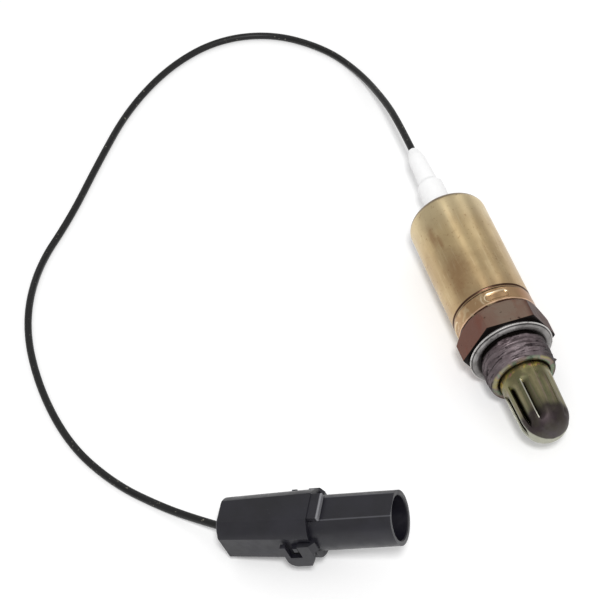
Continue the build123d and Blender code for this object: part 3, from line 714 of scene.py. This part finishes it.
def makeOuterShell(size):
    # a closed outline turned round the axis; its relief is the groove, the dents and a slight unevenness
    radius, wall, back, front = size["radius"], size["wall"], size["back"], size["front"]
    outline = softOutline([
        (back + wall, size["hole"], 0.15), (back, size["hole"], 0.25), (back, radius, size["corner"]),
        (front, radius, 0.12), (front, radius - wall, 0.1), (back + wall, radius - wall, size["corner"] - wall),
    ], 8)

    def stepAt(station, radiusHere):
        # fine steps outside, between the groove and the front edge
        detailed = size["detailed"][0] < station / mm < size["detailed"][1] and radiusHere > (radius - 0.3) * mm
        return (size["fineStep"] if detailed else size["coarseStep"]) * mm

    outline = refined(outline, stepAt)

    def dentNearness(station, angle):
        # distance from the nearest dent's middle line, where 1 is its edge, and that distance's two parts in mm
        step = 2 * math.pi / size["dentCount"]
        turned = (angle - math.radians(size["dentAngle"]) + step / 2) % step - step / 2
        beyond = np.sign(turned) * np.maximum(np.abs(turned) - math.radians(size["dentSweep"] / 2 - 5), 0) * radius
        ahead = station / mm - size["dentStation"]
        return np.hypot(beyond, ahead) / size["dentHalf"], beyond, ahead

    def relief(station, radiusNow, angle):
        # nothing on the inner wall; outside, a cosine-shaped groove, four oblong dents and long low waves
        outside = smoothStep(radiusNow, (radius - 0.4) * mm, (radius - 0.1) * mm)
        away = np.abs(station / mm - size["groove"]) / size["grooveHalf"]
        groove = size["grooveDepth"] * 0.5 * (1 + np.cos(np.pi * np.clip(away, 0, 1)))
        near = dentNearness(station, angle)[0]
        dent = size["dentDepth"] * (1 - smoothStep(near, 0.62, 1.0))
        rim = 0.05 * np.exp(-((near - 1.12) / 0.16) ** 2)
        waves = 0.018 * np.sin(5 * angle + 0.7) + 0.012 * np.sin(9 * angle + station / mm * 0.06)
        return outside * (waves - groove - dent + rim) * mm

    points = turnedPoints(outline, size["columns"], relief)
    # painted highlights: each dent's edge at its left end and its rear side, and a short bar beyond that end
    near, beyond, ahead = dentNearness(outline[:, :1], anglesRound(size["columns"])[None, :])
    edge = np.exp(-((near - 0.98) / 0.13) ** 2) * np.maximum(smoothStep(beyond, 0.1, 0.5), smoothStep(-ahead, 0.3, 0.8))
    bar = np.exp(-((near - 1.8) / 0.16) ** 2) * smoothStep(beyond, 1.5, 1.95)
    dentGlint = np.clip(edge * 0.7 + bar * 0.5, 0, 1) * (outline[:, 1:] > (radius - 0.2) * mm)
    makePiece("outerShell", points, closedQuads(points), finishes["shell"], ["outer_shell"], 50,
              {"dentGlint": dentGlint.reshape(-1)})


makeOuterShell(shellSize)


# hexagon with a turned bevel, thread smeared with paste, lip and inner bore
housingSize = {
    "acrossFlats": 22.0, "back": -7.0, "cornerSoftness": 0.4, "bevelSoftness": 0.14, "edgeBreak": 0.18,
    "neckRadius": 8.0, "threadStart": 2.6, "threadEnd": 10.5, "threadRadius": 9.0, "threadDepth": 0.75,
    "threadStep": 0.085, "pitch": 1.5, "pasteHeight": 0.32, "lipRadius": 8.85, "mouthRadius": 7.14, "columns": 480,
    # a burr on the thread: its station, its angle in degrees and its height
    "burr": (8.4, 8, 0.8),
    # sizes of the paste's unevenness along and round: wide, streaks, lumps, fine and gaps
    "pasteCells": ((1.6, 4.5, 4.5), (0.42, 2.6, 2.6), (0.5, 0.6, 0.6), (0.22, 0.35, 0.35), (0.75, 3.2, 3.2)),
    # stations, each with its offset from the lip's radius or the mouth's; then stations and radii of the bore
    "lip": ((9.86, -0.05), (10.0, -0.15), (10.13, -0.3), (10.25, -0.48), (10.36, -0.7), (10.44, -0.92), (10.5, -1.15)),
    "mouth": ((10.5, 0.22), (10.42, 0.06), (10.2, 0.0), (10.0, -0.06), (9.88, -0.2), (8.02, -0.2)),
    "boreRows": ((8.0, 5.4), (-1.5, 5.4), (-1.5, 6.6), (-10.7, 6.6), (-10.7, 5.4), (-12.0, 5.4), (-12.0, 8.2)),
    # the collar inside the shell: where it starts, its bore and its radius
    "collar": (-14, 8.2, 10.18),
}


def hexRadius(angle, flat, softness):
    # distance from the axis to a hexagon's side with rounded corners: the side's own line, and past
    # the tangent point a circle of the corner's softness; corners at 0, 60, 120 degrees and so on
    offCorner = np.abs((angle + math.pi / 6) % (math.pi / 3) - math.pi / 6)
    side = flat / np.cos(math.pi / 6 - offCorner)
    middle = (flat - softness) / math.cos(math.pi / 6)
    tangent = math.atan2(softness * 0.5, middle + softness * math.cos(math.pi / 6))
    inside = np.clip(softness**2 - (middle * np.sin(offCorner)) ** 2, 0, None)
    rounded = middle * np.cos(offCorner) + np.sqrt(inside)
    return np.where(offCorner < tangent, rounded, side)


def makeHousing(size):
    # rows of points round the axis, laid one after another along the outside and back through the bore
    angle = anglesRound(size["columns"])
    flat, back, edge = size["acrossFlats"] / 2, size["back"], size["edgeBreak"]
    neck, crest, lip, burr = size["neckRadius"], size["threadRadius"], size["lipRadius"], size["burr"]
    threadStart, threadEnd = size["threadStart"], size["threadEnd"]
    hexagon = hexRadius(angle, flat, size["cornerSoftness"])
    width = np.minimum(size["bevelSoftness"], 0.45 * (hexagon - flat))
    crossing = back + hexagon - flat
    rows = []

    def addRow(station, radius):
        station, radius = (np.broadcast_to(value, angle.shape) * mm for value in (station, radius))
        rows.append(onSensor(station, radius, angle))

    # hidden collar, then the hexagon's back face, its cone, its sides and its front face
    start, inner, outer = size["collar"]
    for station, radius in ((start, inner), (start, outer), (back - 0.02, outer), (back, 10.3)):
        addRow(station, radius)
    addRow(back, flat - 0.05)
    coneRow = len(rows) + 1
    for share in (0.0, 0.35, 0.7, 1.0):
        addRow(back + (crossing - width - back) * share, flat + (hexagon - width - flat) * share)
    addRow(crossing + 0.3 * width, hexagon - 0.25 * width)
    addRow(crossing + 1.2 * width, hexagon)
    for share in np.linspace(0.1, 0.95, 10):
        addRow(crossing + (-edge - crossing) * share, hexagon)
    addRow(-edge, hexagon)
    addRow(-0.3 * edge, hexagon - 0.3 * edge)
    addRow(0, hexagon - edge)
    for radius in (11.0, 10.0, 9.0, neck + 0.2):
        addRow(0, radius)
    addRow(0.15, neck)
    addRow(threadStart - 0.7, neck)

    # thread: a rounded wave that climbs one pitch a turn, fading at both ends, under a smear of paste
    for station in np.arange(threadStart - 0.5, threadEnd - 0.72, size["threadStep"]):
        wave = 0.5 + 0.5 * np.cos(2 * math.pi * (station / size["pitch"] - angle / (2 * math.pi)))
        fade = smoothStep(station, threadStart - 0.5, threadStart + 0.4)
        endFade = 1 - smoothStep(station, threadEnd - 1.9, threadEnd - 0.75)
        bare = crest - size["threadDepth"] * (1 - wave ** 0.7)
        spun = np.stack([np.full_like(angle, station), crest * np.cos(angle), crest * np.sin(angle)], axis=-1)
        wide, streaks, lumps, fine, holes = (smoothNoise(spun, cell, seed)
                                             for seed, cell in enumerate(size["pasteCells"], 1))
        cover = crest + size["pasteHeight"] * (0.9 * wide + 0.7 * streaks + 0.25 * lumps - 0.75)
        cover = cover + 0.10 * (fine - 0.5) + 0.16 * (wave - 0.5)
        covered = (1 - smoothStep(holes, 0.66, 0.82)) * smoothStep(wide + streaks, 0.55, 0.85)
        radius = bare * (1 - covered) + cover * covered
        turned = (angle - math.radians(burr[1]) + math.pi) % (2 * math.pi) - math.pi
        reach = np.hypot((station - burr[0]) / 0.28, turned * crest / (0.5 + 0.5 * fine))
        radius = radius + burr[2] * np.exp(-(reach ** 2))
        radius = neck + (radius - neck) * fade
        radius = lip + (radius - lip) * endFade
        addRow(station, radius)

    # end lip, the mouth round the shield, and the bore as the pieces inside need it
    for station, offset in size["lip"]:
        addRow(station, lip + offset)
    for station, offset in size["mouth"]:
        addRow(station, size["mouthRadius"] + offset)
    for station, radius in size["boreRows"]:
        addRow(station, radius)
    points = np.array(rows)
    cone = np.zeros(points.shape[:2])
    cone[coneRow:coneRow + 2] = 1
    makePiece("sensorHousing", points, closedQuads(points), finishes["hex"], ["sensor_housing"], 38,
              {"backCone": cone.reshape(-1)})


makeHousing(housingSize)


# folded ring with a rolled outer rim and one fold line
gasketSize = {"radius": 11.38, "bore": 8.15, "faceBore": 9.0, "thickness": 2.0, "columns": 240}


def makeGasket(size):
    # a closed outline turned round the axis
    outline = softOutline([
        (0.0, size["bore"], 0.1), (0.0, 10.2, 0.1), (0.9, 10.3, 0.1), (1.02, size["radius"] - 0.15, 0.1),
        (1.2, size["radius"], 0.1), (1.46, size["radius"], 0.08), (1.5, size["radius"] - 0.42, 0.05),
        (1.6, size["radius"] - 0.4, 0.1), (size["thickness"], 10.5, 0.8), (size["thickness"], 9.4, 0.3),
        (1.72, size["faceBore"], 0.25), (1.0, size["bore"], 0.2),
    ])
    outline = refined(outline, lambda station, radius: 0.4 * mm)

    def relief(station, radius, angle):
        # slight waviness of a pressed ring
        return (0.02 * np.sin(3 * angle + 1) + 0.012 * np.sin(7 * angle)) * mm - 0.03 * mm

    points = turnedPoints(outline, size["columns"], relief)
    makePiece("sealGasket", points, closedQuads(points), finishes["gasket"], ["seal_gasket"], 45)


makeGasket(gasketSize)


# sheet cup with pressed louvres, each a flap cut free along one long edge
shieldSize = {
    "start": 8.0, "straightEnd": 23.3, "dome": 6.9, "baseRadius": 6.85, "endRadius": 6.45, "sheet": 0.5,
    "count": 10, "louvreStart": 13.4, "louvreEnd": 27.4, "ramp": 2.2, "sink": 0.95, "slitAngle": 115.0,
    "flapAngle": 27.0, "columnsEach": 34,
    # how much painted highlight on bare metal and how much painted shade with soot each slit shows, in the order of
    # their angles
    "bare": (0.8, 0.3, 0.7, 0.5, 0.5, 0.5, 0.5, 0.5, 0.4, 0.3),
    "sootAndShade": (1.0, 1.0, 0.9, 0.9, 0.9, 0.9, 0.9, 0.6, 0.45, 1.0),
}


def shieldRadius(station, size, inset=0.0):
    # a slight taper, then an elliptical dome; inset moves the surface inwards by that much
    share = np.clip((station - size["start"]) / (size["straightEnd"] - size["start"]), 0, 1)
    straight = size["baseRadius"] + (size["endRadius"] - size["baseRadius"]) * share - inset
    along = np.clip((station - size["straightEnd"]) / (size["dome"] - inset), 0, 1)
    return straight * np.sqrt(1 - along**2)


def makeShield(size):
    # two skins on one grid of angles and stations; at each slit the grid has two columns, one on the
    # pressed flap and one on the plain skin, and the wall between the skins closes both cut edges
    step = 2 * math.pi / size["count"]
    slit, reach = math.radians(size["slitAngle"]), math.radians(size["flapAngle"])
    local = np.concatenate([np.linspace(0, step - reach, size["columnsEach"] // 3, endpoint=False),
                            step - reach + reach * np.linspace(0, 1, size["columnsEach"] * 2 // 3)])
    angle = (slit + np.arange(size["count"])[:, None] * step + local[None, :]).reshape(-1)
    pressed = np.tile(np.clip((local - (step - reach)) / reach, 0, 1), size["count"])
    columns, each = len(angle), len(local)
    apex = size["straightEnd"] + size["dome"]
    first, last, ramp = size["louvreStart"], size["louvreEnd"], size["ramp"]
    stations = np.concatenate([
        np.linspace(size["start"], first, 14, endpoint=False),
        np.linspace(first, first + ramp, 12, endpoint=False),
        np.linspace(first + ramp, last - ramp, 22, endpoint=False),
        np.linspace(last - ramp, last, 14, endpoint=False),
        apex - (apex - last) * np.cos(np.linspace(0, math.pi / 2, 16)),
    ])
    depth = size["sink"] * smoothStep(np.minimum(stations - first, last - stations), 0, ramp)
    profile = 0.5 * (1 - np.cos(np.pi * pressed)) * 0.35 + 0.65 * pressed
    outer, inner = (np.clip(shieldRadius(stations, size, inset)[:, None] - depth[:, None] * profile[None, :], 0, None)
                    for inset in (0.0, size["sheet"]))
    innerStations = np.minimum(stations, apex - size["sheet"])
    skinOut = onSensor(stations[:, None] * mm, outer * mm, angle[None, :])
    skinIn = onSensor(innerStations[:, None] * mm, inner * mm, angle[None, :])
    # the last column of each louvre is the flap's cut edge, the next one the plain skin's
    rows = len(stations)
    row, column = np.meshgrid(np.arange(rows - 1), np.arange(columns), indexing="ij")
    cutOpen = (column % each == each - 1) & (stations[row] >= first - 1e-6) & (stations[row + 1] <= last + 1e-6)
    skin = gridCorners(row, column, columns, row + 1)
    whole, cut = skin[~cutOpen], skin[cutOpen]
    innerShift = rows * columns
    ring = np.arange(columns)

    def wall(here, after):
        # quads that join a line of points on the outer skin to the same line on the inner one
        return np.stack([here, after, after + innerShift, here + innerShift], -1)

    quads = np.concatenate([whole, whole + innerShift, wall(cut[:, 0], cut[:, 3]), wall(cut[:, 1], cut[:, 2]),
                            wall(ring, (ring + 1) % columns)])
    points = np.concatenate([skinOut.reshape(-1, 3), skinIn.reshape(-1, 3)])
    # along the plain skin's edge of each slit, bare metal with a painted highlight; where the flaps dip, painted shade
    # with some soot
    inSlit = (stations > first + 0.9) & (stations < last - 0.9)
    edge = inSlit[:, None] * ((ring % each < 3) * np.array(size["bare"])[ring // each])[None, :]
    dip = depth[:, None] / size["sink"] * (pressed * np.array(size["sootAndShade"])[ring // each])[None, :]
    # how far each place leans down: minus its normal's height, and up to 0.3 more on the -Y side
    lean = np.clip((stations - size["straightEnd"]) / size["dome"], 0, 1)
    downward = 0.3 * np.clip(-np.cos(angle), 0, 1) - np.sin(angle)
    under = np.sqrt(1 - lean ** 2)[:, None] * downward[None, :]
    marks = {label: np.tile(mask.reshape(-1), 2)
             for label, mask in (("cutEdgeHighlight", edge), ("recess", dip), ("underside", under))}
    makePiece("protectionTube", points, quads, finishes["shield"], ["protection_tube"], 40, marks)


makeShield(shieldSize)


# white moulding stepped down to the lead
bootSize = {
    "flangeFront": -41.8, "floor": -47.7, "flange": 8.1, "shoulder": 3.65, "shoulderBack": -60.4, "neckFront": -61.8,
    "neck": 2.75, "neckEnd": 2.35, "neckBack": -71.8, "back": -75.0, "tip": 1.35, "bore": 1.2, "columns": 120,
}


def makeBoot(size):
    # a closed outline turned round the axis
    outline = softOutline([
        (size["flangeFront"], size["bore"], 0.1), (size["flangeFront"], size["flange"], 0.3),
        (size["floor"], size["flange"], 0.3), (size["floor"], size["shoulder"], 0.2),
        (size["shoulderBack"], size["shoulder"], 0.5), (size["neckFront"], size["neck"], 0.5),
        (size["neckBack"], size["neckEnd"], 1.2), (size["back"], size["tip"], 0.5),
        (size["back"], size["bore"] - 0.2, 0.05),
    ])
    outline = refined(outline, lambda station, radius: 0.5 * mm)
    points = turnedPoints(outline, size["columns"])
    makePiece("insulatorBoot", points, closedQuads(points), finishes["boot"], ["insulator_boot"], 45)


makeBoot(bootSize)


# floor and soft studio light
studio = {
    "floorHalf": 3.0, "floorTint": (0.92, 0.92, 0.92, 1.0), "worldLevel": 0.55,
    # beyond the lamps' reach the floor is lifted more, so that it stays as pale as it is near the part
    "liftSpan": (0.2, 1.1), "floorLift": 0.15, "farLift": 0.5,
    # each lamp: the way towards it, its distance, width and height in metres, and its brightness, where 1 is white
    "lamps": {
        "keyBox": ((0.49, -0.12, 0.9), 1.1, 0.16, 0.16, 76.0),
        "backBox": ((-0.62, -0.05, 0.78), 1.0, 0.14, 0.7, 1.5),
        "sideBox": ((-0.62, 0.53, 0.58), 1.0, 0.1, 0.6, 1.5),
    },
}


def makeFloor(facts):
    half = facts["floorHalf"]
    mesh = bpy.data.meshes.new("floor")
    mesh.from_pydata([(-half, -half, 0), (half, -half, 0), (half, half, 0), (-half, half, 0)], [], [(0, 1, 2, 3)])
    material = bpy.data.materials.new("paleFloor")
    material.use_nodes = True
    tree = material.node_tree
    tree.nodes.clear()
    matt = addNode(tree, "ShaderNodeBsdfDiffuse", {"Color": facts["floorTint"]}).outputs[0]
    path = addNode(tree, "ShaderNodeLightPath").outputs
    seen = mathNode("MAXIMUM", path["Is Camera Ray"], path["Is Glossy Ray"])
    place = addNode(tree, "ShaderNodeTexCoord").outputs["Object"]
    level = rangeNode(vectorNode("LENGTH", place)["Value"], *facts["liftSpan"], facts["floorLift"], facts["farLift"])
    lift = addNode(tree, "ShaderNodeEmission", {"Color": (1, 1, 1, 1), "Strength": times(seen, level)})
    added = addNode(tree, "ShaderNodeAddShader", {0: matt, 1: lift.outputs[0]}).outputs[0]
    addNode(tree, "ShaderNodeOutputMaterial", {"Surface": added})
    mesh.materials.append(material)
    placed("floor", mesh)


def makeWorld(facts):
    world = bpy.data.worlds.new("studio")
    world.use_nodes = True
    tree = world.node_tree
    tree.nodes.clear()
    path = addNode(tree, "ShaderNodeLightPath").outputs
    level = plus(facts["worldLevel"], times(path["Is Camera Ray"], 1 - facts["worldLevel"]))
    background = addNode(tree, "ShaderNodeBackground", {"Color": (1, 1, 1, 1), "Strength": level}).outputs[0]
    addNode(tree, "ShaderNodeOutputWorld", {"Surface": background})
    bpy.context.scene.world = world


def addLamp(name, towards, distance, width, height, brightness):
    data = bpy.data.lights.new(name, "AREA")
    data.shape = "RECTANGLE"
    data.size, data.size_y = width, height
    data.energy = brightness * math.pi * width * height
    lamp = placed(name, data)
    lamp.location = Vector(towards).normalized() * distance
    lamp.rotation_euler = (-lamp.location).to_track_quat("-Z", "Y").to_euler()


makeFloor(studio)
makeWorld(studio)
for name, facts in studio["lamps"].items():
    addLamp(name, *facts)
print("light and floor set")

bpy.context.scene.view_settings.view_transform = "Standard"
